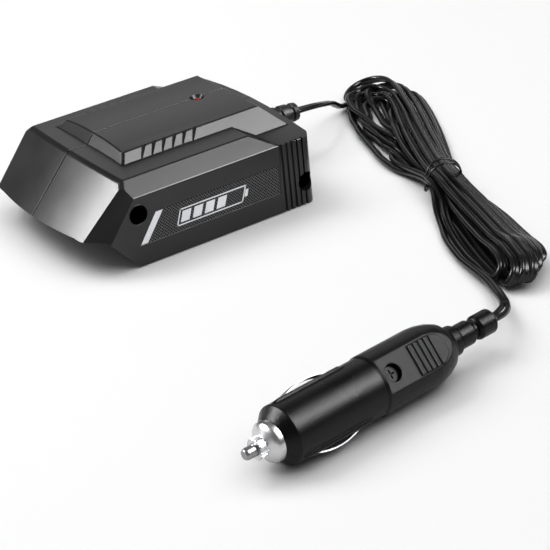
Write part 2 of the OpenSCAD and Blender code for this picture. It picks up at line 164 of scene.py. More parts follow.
def metal(name, color, rough, scratch=900.0, scratch_depth=0.00001):
    """Plated or stamped metal: fine scratches and a little uneven tarnish."""
    mat, tree, shader = new_material(name)
    shader.inputs["Metallic"].default_value = 1.0
    fine = noise(tree, scratch, 2.0, 0.7)
    slow = noise(tree, 130.0, 3.0)
    tarnish = tuple(c * 0.8 for c in color)
    tint = mix_colors(tree, remap(tree, slow.outputs["Fac"], 0, 1), tarnish, color)
    tree.links.new(tint, shader.inputs["Base Color"])
    tree.links.new(remap(tree, slow.outputs["Fac"], rough * 0.7, rough * 1.3),
                   shader.inputs["Roughness"])
    tree.links.new(bump(tree, fine.outputs["Fac"], scratch_depth), shader.inputs["Normal"])
    return mat


# ---------------------------------------------------------------- cord

CORD_WIDTH = 3.6
CORE_RADIUS = 0.97
CORE_GAP = 1.72
WEB_HALF = 0.66
HANK_AT = np.array((-30.0, 125.0, 0.0))
HANK_TURN = math.radians(-20)
HANK_ALONG = np.array((math.cos(HANK_TURN), math.sin(HANK_TURN), 0))
HANK_ACROSS = np.array((-math.sin(HANK_TURN), math.cos(HANK_TURN), 0))
TIE_U = 107.0
TIE_CENTRE = (0.2, 7.0)
TIE_RADIUS = 6.9

# the free stretches, in millimetres, from the casing's gland and to the plug
CASING_ROUTE = [(0, 70, 18), (-0.6, 76, 17.4), (-3, 82, 15.8), (-7, 88.5, 13.2),
                (-12, 95, 10.2), (-16.5, 101, 7.2), (-20.5, 107, 4.8)]
PLUG_ROUTE = [(133, 55, 3), (140, 52.6, 2.8), (148, 49.5, 3.2), (156, 45.5, 4.6),
              (163, 41, 6.8), (168.8, 35.2, 8.8), (171.6, 30, 10.1), (172.47, 27.1, 10.5)]

# the hank in its own frame: along u from the far end, across v, height z.
# the lead's first bend as (u, v, z), then each far turn as
# (right v, left v, farthest u, right z, far z, left z)
FIRST_BEND = [(11, -10.5, 2.6), (8, -4, 2.0), (11, 1.5, 2.0), (18, 3.5, 2.0), (28, 2.0, 2.0)]
FAR_TURNS = [(5, -7, 12, 6, 3.5, 2.2), (7, -8, 6, 7, 4.5, 2.4), (9.5, -9, 0, 8, 5, 3),
             (16.5, 0, -2, 6.5, 6, 5), (19.5, 5, 9, 5, 6, 7), (11, -9.5, -7, 10.5, 6.5, 2.6)]
# how far to the left the run after each far turn swings
SWINGS = [-12, -10.4, -8, -1.5, 3]
# each turn at the near end: where it starts along u, how far it reaches, its middle's height
NEAR_TURNS = [(180, 7.5, 5.4), (186, 8, 6), (186.5, 8, 6.4), (186, 8, 6.2), (182, 8, 6.2),
              (177.5, 7.5, 6.5)]
# places across the hank, 0 at its left, of each turn's runs
RANKS = [0, 1, 2, 4, 5, 3]
TAIL_RUN = [(18, -12.4, 2.3), (36, -14.6, 2.2), (60, -14.2, 2.2), (84, -12.4, 2.2),
            (107, -10.5, 2.2), (130, -9.6, 2.2), (150, -10, 2.2), (165, -10.4, 2.4)]


def to_row(u, v, z):
    """A point in the hank's frame, in the row frame; both in millimetres."""
    return HANK_AT + HANK_ALONG * u + HANK_ACROSS * v + np.array((0, 0, z))


def to_hank(points):
    """Along and across the hank, for points in the row frame."""
    away = points - HANK_AT
    return away @ HANK_ALONG, away @ HANK_ACROSS


def half_turn(u_start, reach, start, end, middle_z):
    """Half an ellipse along u from one (v, z) to another, its middle at height middle_z."""
    points = []
    for a in np.linspace(0, 180, 8):
        share = (1 - math.cos(math.radians(a))) / 2
        bow = math.sin(math.radians(a))
        v = start[0] + (end[0] - start[0]) * share
        z = start[1] + (end[1] - start[1]) * share
        z += (middle_z - (start[1] + end[1]) / 2) * bow
        points.append(to_row(u_start + reach * bow, v, z))
    return points


def low_runs(rank):
    """A run along the hank's underside: its places at three stations."""
    angle = math.radians(190 + 32 * rank)
    tie = (TIE_CENTRE[0] + 5.1 * math.cos(angle), TIE_CENTRE[1] + 5.1 * math.sin(angle))
    return [(60, -11 + 2.8 * rank, 2.4), (TIE_U, *tie), (148, -8 + 2.4 * rank, 2.2)]


def high_runs(rank):
    """A run along the hank's top, where it goes back to the far end."""
    angle = math.radians(160 - 32 * rank)
    tie = (TIE_CENTRE[0] + 5.1 * math.cos(angle), TIE_CENTRE[1] + 5.1 * math.sin(angle))
    dome = 10.8 - 0.3 * (rank - 2) ** 2
    return [(142, -3.8 + 3.1 * rank, dome), (TIE_U, *tie), (60, -3.5 + 3.5 * rank, dome - 1)]


def rough_route():
    """The cord's whole route by its main points, before the strands push each other apart."""
    route = [np.array(p, float) for p in CASING_ROUTE]
    route += [to_row(*p) for p in FIRST_BEND]
    for k, (rank, turn) in enumerate(zip(RANKS, FAR_TURNS)):
        low, high = low_runs(rank), high_runs(rank)
        route += [to_row(*p) for p in low]
        u_start, reach, middle_z = NEAR_TURNS[rank]
        start = (low[2][1] + 0.4, 2.2)
        end = (high[0][1] + 0.4, high[0][2] - 0.6)
        route += half_turn(u_start, reach, start, end, middle_z)
        route += [to_row(*p) for p in high]
        right, left, farthest, right_z, far_z, left_z = turn
        reach = (right - left) / 2 * 1.1
        route += half_turn(farthest + reach, -reach, (right, right_z), (left, left_z), far_z)
        if k < len(SWINGS):
            route.append(to_row(37, SWINGS[k], 2.4))
    route += [to_row(*p) for p in TAIL_RUN]
    return np.vstack(route + [np.array(PLUG_ROUTE, float)])


def smooth_curve(points, step):
    """A centripetal Catmull-Rom curve through the points, at even steps."""
    p = np.vstack([2 * points[0] - points[1], points, 2 * points[-1] - points[-2]])
    t = np.concatenate([[0], np.cumsum(np.linalg.norm(np.diff(p, axis=0), axis=1) ** 0.5)])
    fine = []
    for i in range(1, len(p) - 2):
        s = np.linspace(t[i], t[i + 1], 24, endpoint=False)[:, None]
        a1 = ((t[i] - s) * p[i - 1] + (s - t[i - 1]) * p[i]) / (t[i] - t[i - 1])
        a2 = ((t[i + 1] - s) * p[i] + (s - t[i]) * p[i + 1]) / (t[i + 1] - t[i])
        a3 = ((t[i + 2] - s) * p[i + 1] + (s - t[i + 1]) * p[i + 2]) / (t[i + 2] - t[i + 1])
        b1 = ((t[i + 1] - s) * a1 + (s - t[i - 1]) * a2) / (t[i + 1] - t[i - 1])
        b2 = ((t[i + 2] - s) * a2 + (s - t[i]) * a3) / (t[i + 2] - t[i])
        fine.append(((t[i + 1] - s) * b1 + (s - t[i]) * b2) / (t[i + 1] - t[i]))
    return even_steps(np.vstack(fine + [points[-1:]]), step)


def even_steps(points, step):
    along = np.concatenate([[0], np.cumsum(np.linalg.norm(np.diff(points, axis=0), axis=1))])
    marks = np.linspace(0, along[-1], int(along[-1] / step) + 1)
    return np.stack([np.interp(marks, along, points[:, k]) for k in range(3)], axis=1)


def soften(line, passes, held=2):
    """Evens out small kinks, with the two ends held."""
    line = line.copy()
    for _ in range(passes):
        line[held:-held] += (line[held - 1:-held - 1] + line[held + 1:line.shape[0] - held + 1]
                             - 2 * line[held:-held]) * 0.25
    return line


def unit_rows(vectors):
    return vectors / np.maximum(np.linalg.norm(vectors, axis=1), 1e-9)[:, None]


def ribbon_frames(line):
    """Tangent, wide direction and flat normal of the lead at each point.

    It stands on edge round the far lobes, and lies flat where it turns over at the near end."""
    tangents = unit_rows(np.gradient(line, axis=0))
    u, _ = to_hank(line)
    lean = np.radians(np.interp(u, (0, 40, 90, 140, 200), (48, 56, 66, 70, 66)))[:, None]
    wide = HANK_ACROSS * -np.sin(lean) + np.array((0, 0, 1)) * np.cos(lean)
    level = -unit_rows(np.cross((0, 0, 1), tangents))
    step = np.linalg.norm(line[1] - line[0])
    along = np.arange(len(line)) * step
    inside = np.clip((along - 30) / 45, 0, 1) * np.clip((along[-1] - 25 - along) / 40, 0, 1)
    share = (inside * inside * (3 - 2 * inside))[:, None]
    wide = wide * share + level * (1 - share)
    wide = unit_rows(wide - tangents * (wide * tangents).sum(axis=1)[:, None])
    wide = unit_rows(soften(wide, 3))
    wide = unit_rows(wide - tangents * (wide * tangents).sum(axis=1)[:, None])
    return tangents, wide, np.cross(tangents, wide)


def settle(points, step, rounds=320):
    """Pushes the strands apart until the flat lead lies beside and on itself."""
    p = points.copy()
    n = len(p)
    index = np.arange(n)
    free = ((index * step > 34) & ((n - index) * step > 48)).astype(float)[:, None]
    # the near end's turns are springy, so they keep closer to where they started
    homing = np.where(to_hank(points)[0] > 168, 0.05, 0.006)[:, None]
    for i in range(rounds):
        if i % 12 == 0:
            tangents, wide, normal = ribbon_frames(p)
            apart = np.linalg.norm(p[:, None] - p[None], axis=2)
            first, second = np.nonzero((apart < 7) & (abs(index[:, None] - index) > 4))
            half_high = np.sqrt((CORD_WIDTH / 2 * wide[:, 2]) ** 2 + (CORE_RADIUS * normal[:, 2]) ** 2)
        gap = p[first] - p[second]
        over_w = (gap * wide[first]).sum(axis=1) / (CORD_WIDTH * 0.97)
        over_n = (gap * normal[first]).sum(axis=1) / (CORE_RADIUS * 2)
        slip = abs((gap * tangents[first]).sum(axis=1))
        share = np.maximum(np.hypot(over_w, over_n), 0.15)
        touching = (share < 1) & (slip < step * 0.75)
        amount = (np.clip(1 / share - 1, 0, 0.8) * touching)[:, None]
        side = gap - tangents[first] * (gap * tangents[first]).sum(axis=1)[:, None]
        push = np.zeros_like(p)
        np.add.at(push, first, side * amount * 0.3)
        bend = np.zeros_like(p)
        bend[2:-2] = (4 * (p[1:-3] + p[3:-1]) - p[:-4] - p[4:]) / 6 - p[2:-2]
        stretch = np.diff(p, axis=0)
        length = np.linalg.norm(stretch, axis=1)[:, None]
        pull = stretch / length * (length - step) * 0.3
        mid = np.zeros_like(p)
        mid[1:-1] = (p[:-2] + p[2:]) / 2 - p[1:-1]
        move = np.clip(push, -0.6, 0.6) + bend * 0.35 + mid * 0.04
        move[:-1] += pull
        move[1:] -= pull
        move += (points - p) * homing
        move[:, 2] -= 0.03
        p += move * free
        p[:, 2] = np.where(free[:, 0] > 0, np.maximum(p[:, 2], half_high + 0.1), p[:, 2])
        hold_under_tie(p, free[:, 0] > 0)
    return p


def hold_under_tie(p, free):
    """Keeps the strands inside the tie, apart from the tail, which lies outside it."""
    u, v = to_hank(p)
    across, up = v - TIE_CENTRE[0], p[:, 2] - TIE_CENTRE[1]
    away = np.hypot(across, up)
    most = TIE_RADIUS - 1.3 + np.clip(abs(u - TIE_U) - 4, 0, None) * 0.3
    held = free & (away > most) & (abs(u - TIE_U) < 30) & (v > -8.2 - abs(u - TIE_U) * 0.06)
    shrink = np.where(held, most / np.maximum(away, 1e-6), 1)
    p += HANK_ACROSS * (across * (shrink - 1))[:, None]
    p[:, 2] += up * (shrink - 1)


def sweep(bm, line, sides, ups, profile):
    """Skins a profile of (across, up) points along a line, with flat ends."""
    rings = []
    for point, side, up in zip(line, sides, ups):
        rings.append([bm.verts.new(Vector(point + side * a + up * b) * MM) for a, b in profile])
    count = len(profile)
    for first, second in zip(rings, rings[1:]):
        for k in range(count):
            bm.faces.new((first[k], first[(k + 1) % count], second[(k + 1) % count], second[k]))
    bm.faces.new(list(reversed(rings[0])))
    bm.faces.new(rings[-1])


def twin_profile(points=24):
    """The lead's outline: two round cores with a shallow groove between them."""
    outline = []
    for a in np.linspace(0, 2 * math.pi, points, endpoint=False):
        x = (CORE_GAP / 2 + CORE_RADIUS) * math.cos(a)
        off_core = abs(abs(x) - CORE_GAP / 2)
        core = math.sqrt(max(CORE_RADIUS ** 2 - off_core ** 2, 0))
        web = WEB_HALF if abs(x) < CORE_GAP / 2 else 0
        outline.append((x, math.copysign(max(core, web), math.sin(a)) if abs(math.sin(a)) > 1e-6 else 0.0))
    return outline


def make_cord():
    step = 3.2
    line = settle(smooth_curve(rough_route(), step), step)
    line = smooth_curve(soften(line, 2)[::2], 1.6)
    _, sides, ups = ribbon_frames(line)
    split = len(line) - 12
    bm = bmesh.new()
    sweep(bm, line[:split + 1], sides[:split + 1], ups[:split + 1], twin_profile())
    circle = [(CORE_RADIUS * math.cos(a), CORE_RADIUS * math.sin(a))
              for a in np.linspace(0, 2 * math.pi, 14, endpoint=False)]
    tail, tail_sides, tail_ups = line[split:], sides[split:], ups[split:]
    open_up = np.sin(np.linspace(0, math.pi, len(tail)))[:, None]
    for hand in (-1, 1):
        core = tail + tail_sides * hand * (CORE_GAP / 2 + 0.5 * open_up)
        sweep(bm, core, tail_sides, tail_ups, circle)
    bmesh.ops.recalc_face_normals(bm, faces=bm.faces)
    mesh = bpy.data.meshes.new("cord")
    bm.to_mesh(mesh)
    bm.free()
    for face in mesh.polygons:
        face.use_smooth = True
    cord = link(bpy.data.objects.new("cord", mesh))
    material = cord_material()
    cord.data.materials.append(material)
    tie = make_tie(material)
    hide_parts("cord_casing_end", "cord_hank", "cord_plug_end")
    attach(cord, "charger")


def make_tie(material):
    """A twist tie: two turns of coated wire round the bundle, twisted together at its left."""
    bm = bmesh.new()
    circle = [(0.62 * math.cos(a), 0.42 * math.sin(a))
              for a in np.linspace(0, 2 * math.pi, 10, endpoint=False)]
    angles = np.radians(np.arange(0, 361, 9))
    for lean, shift, radius in ((1.5, 0.5, 6.6), (-1.2, -0.6, 6.9)):
        loop = np.array([to_row(TIE_U + shift + lean * math.sin(a),
                                TIE_CENTRE[0] + radius * math.cos(a),
                                max(TIE_CENTRE[1] + radius * math.sin(a) * 0.93, 0.45))
                         for a in angles])
        tangents = unit_rows(np.gradient(loop, axis=0))
        sides = np.tile(HANK_ALONG, (len(loop), 1))
        sweep(bm, loop, sides, np.cross(tangents, sides), circle)
    twist = np.linspace(0, 1, 16)
    for hand in (0, math.pi):
        start = to_row(TIE_U, TIE_CENTRE[0] - 7.2, 4.2)
        end = to_row(TIE_U + 7, TIE_CENTRE[0] - 9.4, 6.2)
        strand = start + (end - start) * twist[:, None]
        swirl = twist * 11 + hand
        strand += HANK_ACROSS * (0.5 * np.cos(swirl))[:, None]
        strand[:, 2] += 0.5 * np.sin(swirl)
        tangents = unit_rows(np.gradient(strand, axis=0))
        sides = unit_rows(np.cross((0, 0, 1), tangents))
        sweep(bm, strand, sides, np.cross(tangents, sides), [(a * 0.7, b) for a, b in circle])
    bmesh.ops.recalc_face_normals(bm, faces=bm.faces)
    mesh = bpy.data.meshes.new("twist_tie")
    bm.to_mesh(mesh)
    bm.free()
    for face in mesh.polygons:
        face.use_smooth = True
    mesh.materials.append(material)
    tie = link(bpy.data.objects.new("twist_tie", mesh))
    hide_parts("hank_tie")
    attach(tie, "charger")
    return tie


def cord_material():
    mat, tree, shader = new_material("cord_black")
    fine = noise(tree, 2600.0, 2.0)
    slow = noise(tree, 60.0, 3.0)
    tint = mix_colors(tree, remap(tree, slow.outputs["Fac"], 0, 1),
                      (0.003, 0.003, 0.0033), (0.008, 0.008, 0.009))
    tree.links.new(tint, shader.inputs["Base Color"])
    tree.links.new(remap(tree, slow.outputs["Fac"], 0.2, 0.3), shader.inputs["Roughness"])
    tree.links.new(bump(tree, fine.outputs["Fac"], 0.00002), shader.inputs["Normal"])
    shader.inputs["Specular IOR Level"].default_value = 0.28
    return mat


# ---------------------------------------------------------------- shared shapes

# edges that turn more than the first angle are rounded, and past the second one they look creased
ROUNDED_FROM = math.radians(17)
CREASED_FROM = math.radians(28)


def rounded_copy(cad_name, body, material, softness, segments=3, shortest=1.2, parting=0.0):
    """A copy of a CAD node with its sharp edges rounded, which stands for that node.

    softness gives each sharp edge's rounding in millimetres from its two ends, where 0 leaves
    the edge unrounded and creased. Edges no longer than shortest aren't rounded. parting
    draws the faces on the middle plane back, so that a dark line shows between two halves."""
    bm = bmesh.new()
    bm.from_mesh(NODES[cad_name].data)
    bmesh.ops.remove_doubles(bm, verts=bm.verts, dist=0.000002)
    bmesh.ops.dissolve_limit(bm, angle_limit=math.radians(0.05), verts=bm.verts, edges=bm.edges)
    if parting:
        for vert in bm.verts:
            if abs(vert.co.x) < 0.00001:
                vert.co.x = parting * MM
    layer = bm.edges.layers.float.new("bevel_weight_edge")
    bm.edges.ensure_lookup_table()
    sharp = [edge for edge in bm.edges
             if len(edge.link_faces) == 2 and edge.calc_face_angle(0) > ROUNDED_FROM
             and edge.calc_length() > shortest * MM]
    widths = [softness(*[v.co / MM for v in edge.verts]) for edge in sharp]
    widest = max(widths)
    for edge in bm.edges:
        edge.smooth = edge.calc_face_angle(0) < CREASED_FROM
    for edge, width in zip(sharp, widths):
        edge[layer] = width / widest
        if width == 0:
            edge.smooth = False
    mesh = bpy.data.meshes.new(cad_name + "_skin")
    bm.to_mesh(mesh)
    bm.free()
    mesh.materials.clear()
    mesh.materials.append(material)
    piece = link(bpy.data.objects.new(cad_name + "_skin", mesh))
    bevel = piece.modifiers.new("rounding", "BEVEL")
    bevel.limit_method = "WEIGHT"
    bevel.width = widest * MM
    bevel.segments = segments
    bevel.use_clamp_overlap = False
    for face in mesh.polygons:
        face.use_smooth = True
    even = piece.modifiers.new("even_normals", "WEIGHTED_NORMAL")
    even.keep_sharp = True
    even.weight = 90
    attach(piece, body)
    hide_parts(cad_name)
    return piece


def flat_piece(name, outline, place, depth, body, material):
    """A thin printed shape: an outline in two directions, placed by a function, with a depth."""
    bm = bmesh.new()
    front = [bm.verts.new(place(a, b, depth)) for a, b in outline]
    back = [bm.verts.new(place(a, b, 0)) for a, b in outline]
    bm.faces.new(front)
    bm.faces.new(list(reversed(back)))
    count = len(outline)
    for k in range(count):
        bm.faces.new((back[k], back[(k + 1) % count], front[(k + 1) % count], front[k]))
    bmesh.ops.recalc_face_normals(bm, faces=bm.faces)
    mesh = bpy.data.meshes.new(name)
    bm.to_mesh(mesh)
    bm.free()
    mesh.materials.append(material)
    piece = link(bpy.data.objects.new(name, mesh))
    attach(piece, body)
    return piece


# ---------------------------------------------------------------- casing

HALF_WIDTH = 41.0
FOLD_SOFTNESS = 1.3


def casing_softness(a, b):
    """Rounding of the casing's edges: wide at the nose fold, fine along the seam, none by holes."""
    for y, z, reach in ((-27, 20.6, 5.0), (46, 9.2, 7.0)):
        if min(math.hypot(a.y - y, a.z - z), math.hypot(b.y - y, b.z - z)) < reach:
            return 0.0
    length = (a - b).length
    at_fold = max(a.y, b.y) < -28.9 and min(a.z, b.z) > 31.1
    at_fold_end = at_fold and min(abs(a.x), abs(b.x)) > 34.2
    if length < 1.2:
        return FOLD_SOFTNESS if at_fold_end else 0.0
    if max(a.y, b.y) < -27.9 and max(abs(a.x), abs(b.x)) > 35.2:
        return 0.0
    if max(a.y, b.y) < -30 and min(abs(a.x), abs(b.x)) > 33:
        return 0.0
    if abs(a.x) < 0.3 and abs(b.x) < 0.3:
        return 0.15
    on_label_rim = min(abs(a.x), abs(b.x)) > 40.5 and max(a.z, b.z) < 20 and min(a.z, b.z) > 8
    if on_label_rim and max(a.y, b.y) < 34.5:
        return 0.06
    if at_fold and abs(a.x - b.x) > abs(a.z - b.z):
        return FOLD_SOFTNESS
    at_panel_corner = 20 < min(abs(a.x), abs(b.x)) and max(abs(a.x), abs(b.x)) < 32
    if at_panel_corner and max(a.y, b.y) < -18 and abs(a.z - b.z) > 2:
        return 1.0
    if min(a.y, b.y) > 36 and abs(a.z - b.z) > 3:
        return 0.12
    in_slanted_groove = 25 < min(abs(a.x), abs(b.x)) and max(abs(a.x), abs(b.x)) < 34
    if in_slanted_groove and (a - b).length < 8:
        return 0.06
    return 0.4


def make_recess(name, y, z, outer_x, rim):
    """A black tube without gloss inside a screw recess on the right side, painted shade that makes the
    hole read dark, and a fine raised rim if it has one.
    """
    # painted shade: the recess is lined with a black material that has no gloss
    dark = moulded("recess_painted_shade", (0.0008, 0.0008, 0.0008), 0.8, 2500.0, 0.00002, specular=0.0)
    steps = 48
    rings = [(3.77, outer_x), (3.77, 12.0)]
    verts = []
    for radius, x in rings:
        for k in range(steps):
            a = 2 * math.pi * k / steps
            verts.append(mm(x, y + radius * math.cos(a), z + radius * math.sin(a)))
    faces = [[k, (k + 1) % steps, steps + (k + 1) % steps, steps + k] for k in range(steps)]
    shade_liner = mesh_piece(name + "_bore", verts, faces, dark)
    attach(shade_liner, "charger")
    if rim is None:
        return
    verts, faces = [], []
    count = 8
    for k in range(steps):
        a = 2 * math.pi * k / steps
        for i in range(count):
            b = 2 * math.pi * i / count
            radius = 3.86 + 0.17 * math.cos(b)
            verts.append(mm(HALF_WIDTH - 0.02 + 0.15 * math.sin(b),
                            y + radius * math.cos(a), z + radius * math.sin(a)))
            faces.append([k * count + i, k * count + (i + 1) % count,
                          (k + 1) % steps * count + (i + 1) % count, (k + 1) % steps * count + i])
    edge = mesh_piece(name + "_rim", verts, faces, rim, smooth_below=80)
    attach(edge, "charger")


def make_casing():
    # the casing's sharp edges are painted paler: a painted edge highlight
    plastic = moulded("casing_black", (0.006, 0.006, 0.0065), 0.3, 5200.0, 0.00002, specular=0.42,
                      painted_edge_highlight=0.2)
    for name, side in (("casing_left", -1), ("casing_right", 1)):
        rounded_copy(name, "charger", plastic, casing_softness, shortest=0.4,
                     parting=0.24 * side)
    make_recess("front_recess", -27, 20.6, 40.9, plastic)
    make_recess("rear_recess", 46, 9.2, 37.6, None)
    paint(metal("steel", (0.5, 0.5, 0.52), 0.35), "casing_screws")


def label_material():
    """Printed weave: two families of thin pale threads that cross on black."""
    mat, tree, shader = new_material("label")
    place = tree.nodes.new("ShaderNodeTexCoord").outputs["Object"]
    threads = []
    for lean in (1.0, -1.15):
        along = node(tree, "ShaderNodeVectorMath", operation="DOT_PRODUCT")
        tree.links.new(place, along.inputs[0])
        along.inputs[1].default_value = (0, 4900, 4700 * lean)
        wave = node(tree, "ShaderNodeMath", operation="SINE")
        tree.links.new(along.outputs["Value"], wave.inputs[0])
        threads.append(wave.outputs["Value"])
    lattice = node(tree, "ShaderNodeMath", operation="MAXIMUM")
    tree.links.new(threads[0], lattice.inputs[0])
    tree.links.new(threads[1], lattice.inputs[1])
    share = remap(tree, lattice.outputs["Value"], 0, 1, 0.35, 1.0)
    speck = noise(tree, 1400.0, 2.0)
    pale = mix_colors(tree, speck.outputs["Fac"], (0.05, 0.05, 0.051), (0.24, 0.24, 0.245))
    tree.links.new(mix_colors(tree, share, (0.0015, 0.0015, 0.0015), pale), shader.inputs["Base Color"])
    shader.inputs["Specular IOR Level"].default_value = 0.12
    tree.links.new(remap(tree, share, 0.5, 0.35, 0, 1), shader.inputs["Roughness"])
    return mat


def slanted(y0, y1, z0, z1, lean=0.0):
    """A bar's outline whose top is shifted along the label."""
    return [(y0, z0), (y1, z0), (y1 + lean, z1), (y0 + lean, z1)]


def make_labels():
    weave = label_material()
    silver = metal("label_silver", (0.78, 0.79, 0.82), 0.3)
    for name in ("label_left", "label_right"):
        NODES[name].data.materials.clear()
        NODES[name].data.materials.append(weave)
        side = 1 if name.endswith("right") else -1
        face = HALF_WIDTH - 0.05

        def on_side(y, z, depth, side=side, face=face):
            return mm(side * (face + depth), y, z)

        marks = {"slash": slanted(-27.6, -24.6, 8.5, 19.4, 7.75)}
        low, high, lean = 10.4, 17, 2.2
        thin = 0.5
        left, right = -12, 17
        marks["frame_low"] = slanted(left, right, low, low + thin, 0.16)
        marks["frame_high"] = [(y + lean, z) for y, z in
                               slanted(left, right, high - thin, high, 0.16)]
        marks["frame_start"] = slanted(left, left + thin, low, high, lean)
        marks["frame_end"] = slanted(right - thin, right, low, high, lean)
        marks["frame_tip"] = slanted(right + 0.9, right + 2.2, low + 1.9, high - 1.9, 0.85)
        for k in range(4):
            start = left + 1.8 + k * 5.2
            marks[f"charge_bar_{k}"] = slanted(start, start + 3.8, low + 1.2, high - 1.2, 1.4)
        for mark, outline in marks.items():
            flat_piece(f"{name}_{mark}", outline, on_side, 0.05, "charger", silver)


def make_lamp():
    mat, tree, shader = new_material("led_red")
    cloud = noise(tree, 900.0, 2.0)
    tint = mix_colors(tree, cloud.outputs["Fac"], (0.2, 0.006, 0.006), (0.34, 0.012, 0.012))
    tree.links.new(tint, shader.inputs["Base Color"])
    shader.inputs["Roughness"].default_value = 0.15
    shader.inputs["Transmission Weight"].default_value = 0.3
    shader.inputs["Emission Color"].default_value = (0.7, 0.02, 0.02, 1)
    shader.inputs["Emission Strength"].default_value = 0.08
    NODES["status_led"].data.materials.clear()
    NODES["status_led"].data.materials.append(mat)


# ---------------------------------------------------------------- plug

PLUG_AT = mm(185.5, -79, 10.5)
PLUG_TURNS = ((7, "Z"), (-40, "Y"), (-90, "X"))
BARREL_RADIUS = 10.0
# outlines of the turned metal, as (radius, place along the axis) in millimetres
NOSE_PROFILE = [(2.1, 5.2), (3.3, 5.2), (3.6, 5.5), (3.6, 7.7), (3.3, 8.0), (3.7, 8.3),
                (5.2, 8.9), (6.4, 9.8), (6.8, 10.4), (6.8, 12.0), (6.0, 12.0), (6.0, 19.8),
                (3.5, 19.8), (3.5, 11.1), (2.1, 11.1)]
PIN_PROFILE = [(0, 1.2), (1.45, 1.2), (1.8, 1.55), (1.95, 2.2), (1.95, 11.2), (3.3, 11.2),
               (3.3, 13.15), (0, 13.15)]


def on_plug(points):
    """Points in the plug's frame in millimetres, Z along its axis, as points of the row frame."""
    turn = Matrix.Identity(4)
    for degrees, axis in PLUG_TURNS:
        turn = turn @ Matrix.Rotation(math.radians(degrees), 4, axis)
    return [PLUG_AT + turn @ mm(*p) for p in points]


def paint(material, *cad_names):
    """Gives CAD nodes that are shown as they are a procedural material."""
    for name in cad_names:
        NODES[name].data.materials.clear()
        NODES[name].data.materials.append(material)


def mesh_piece(name, verts, faces, material, smooth_below=35):
    mesh = bpy.data.meshes.new(name)
    mesh.from_pydata([tuple(v) for v in verts], [], faces)
    bm = bmesh.new()
    bm.from_mesh(mesh)
    bmesh.ops.remove_doubles(bm, verts=bm.verts, dist=0.000001)
    bmesh.ops.recalc_face_normals(bm, faces=bm.faces)
    bm.to_mesh(mesh)
    bm.free()
    for face in mesh.polygons:
        face.use_smooth = True
    mesh.set_sharp_from_angle(angle=math.radians(smooth_below))
    mesh.materials.append(material)
    return link(bpy.data.objects.new(name, mesh))


def turned(name, profile, material, ridges=0):
    """A turned piece round the plug's axis; ridges cut its narrow front part into a knurl."""
    steps = 132
    verts = []
    for k in range(steps):
        a = 2 * math.pi * k / steps
        for radius, s in profile:
            knurled = ridges and 3.4 < radius < 3.65 and s < 8
            cut = 0.42 * (k * ridges % steps < steps / 2) if knurled else 0
            verts.append(((radius - cut) * math.cos(a), (radius - cut) * math.sin(a), s))
    count = len(profile)
    faces = []
    for k in range(steps):
        here, after = k * count, (k + 1) % steps * count
        for i in range(count):
            j = (i + 1) % count
            corners = [here + i, here + j, after + j, after + i]
            if profile[i][0] == 0 and profile[j][0] == 0:
                continue
            faces.append(corners)
    return mesh_piece(name, on_plug(verts), faces, material)


def plug_plastic():
    """The plug's black plastic, finely grained all over, and paler and speckled on the thumb pad."""
    mat, tree, shader = new_material("plug_black")
    place = tree.nodes.new("ShaderNodeTexCoord").outputs["Object"]
    end, out = on_plug([(0, 0, 1000)])[0] - PLUG_AT, on_plug([(1000, 0, 0)])[0] - PLUG_AT
    masks = []
    for direction, low in ((end, 52), (out, 8.4)):
        reach = node(tree, "ShaderNodeVectorMath", operation="DOT_PRODUCT")
        tree.links.new(place, reach.inputs[0])
        reach.inputs[1].default_value = direction
        level = PLUG_AT.dot(direction) + low * MM
        masks.append(remap(tree, reach.outputs["Value"], 0, 1, level, level + 0.0002))
    pad = node(tree, "ShaderNodeMath", operation="MULTIPLY")
    tree.links.new(masks[0], pad.inputs[0])
    tree.links.new(masks[1], pad.inputs[1])
    grain = noise(tree, 3600.0, 2.0, 0.7)
    slow = noise(tree, 60.0, 3.0)
    smooth_tint = mix_colors(tree, slow.outputs["Fac"], (0.0016, 0.0016, 0.0018), (0.003, 0.003, 0.0032))
    rough_tint = mix_colors(tree, grain.outputs["Fac"], (0.006, 0.006, 0.006), (0.03, 0.03, 0.031))
    tree.links.new(mix_colors(tree, pad.outputs["Value"], smooth_tint, rough_tint),
                   shader.inputs["Base Color"])
    tree.links.new(remap(tree, pad.outputs["Value"], 0.17, 0.09, 0, 1),
                   shader.inputs["Specular IOR Level"])
    tree.links.new(remap(tree, slow.outputs["Fac"], 0.26, 0.32), shader.inputs["Roughness"])
    tree.links.new(bump(tree, grain.outputs["Fac"], 0.00006), shader.inputs["Normal"])
    return mat


def make_rail(side, hand, material):
    """A raised rail along the barrel beside a side contact's slot."""
    angles = [math.radians(side * 90 + hand * side * a) for a in (18, 20, 23, 26, 28)]
    stations = [(15.8, -0.4), (17.2, 0.5), (19, 0.75), (43, 0.75), (44.4, 0.3), (44.8, -0.4)]
    verts = []
    for s, rise in stations:
        for k, a in enumerate(angles):
            lift = rise if 0 < k < 4 else min(rise, 0.25)
            out = BARREL_RADIUS + lift
            verts.append((out * math.cos(a), out * math.sin(a), s))
        for a in reversed(angles):
            verts.append(((BARREL_RADIUS - 0.8) * math.cos(a), (BARREL_RADIUS - 0.8) * math.sin(a), s))
    count = 2 * len(angles)
    faces = [list(range(count)), list(range(len(verts) - count, len(verts)))]
    for i in range(len(stations) - 1):
        for k in range(count):
            j = (k + 1) % count
            faces.append([i * count + k, i * count + j, (i + 1) * count + j, (i + 1) * count + k])
    rail = mesh_piece(f"rail_{side + 1}_{hand + 1}", on_plug(verts), faces, material)
    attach(rail, "charger")


def even_softness(width):
    return lambda a, b: width


